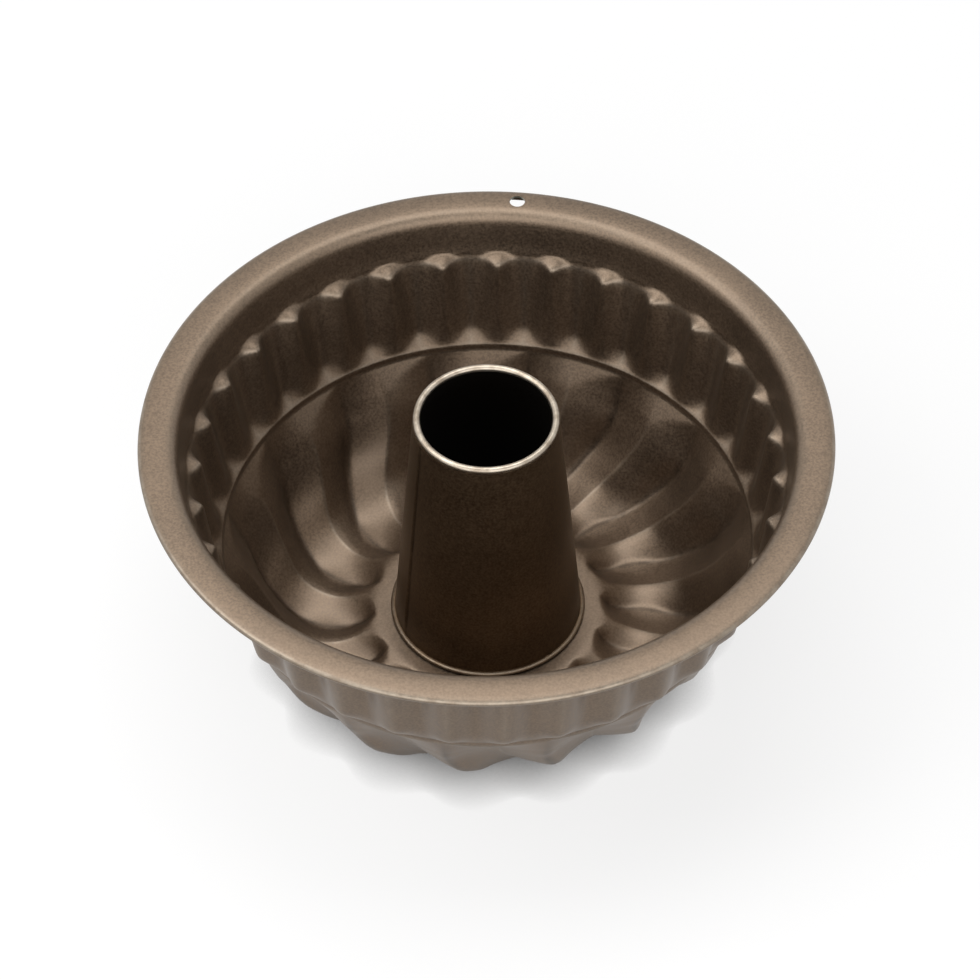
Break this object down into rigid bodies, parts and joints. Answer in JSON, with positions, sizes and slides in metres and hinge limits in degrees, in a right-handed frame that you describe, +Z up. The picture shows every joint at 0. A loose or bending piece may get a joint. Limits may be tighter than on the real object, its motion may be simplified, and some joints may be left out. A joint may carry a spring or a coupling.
{
  "type": "kugelhopf mould",
  "caption": "Round fluted and swirled ring cake mould of coated steel sheet, with a rolled rim, a hanging hole and a tapered centre tube.",
  "frame": {"origin": "centre of the mould at the plane of its standing flats, the lowest faces of the swirl's lobes", "axes": "+Z up along the tube's axis, +Y towards the hanging hole in the rim"},
  "size_m": [0.22, 0.22, 0.0972],
  "materials": {
    "shell_coating": "satin",
    "tube_coating": "satin"
  },
  "bodies": {
    "root": {"mould_shell": "shell_coating", "centre_tube": "tube_coating"}
  },
  "joints": []
}
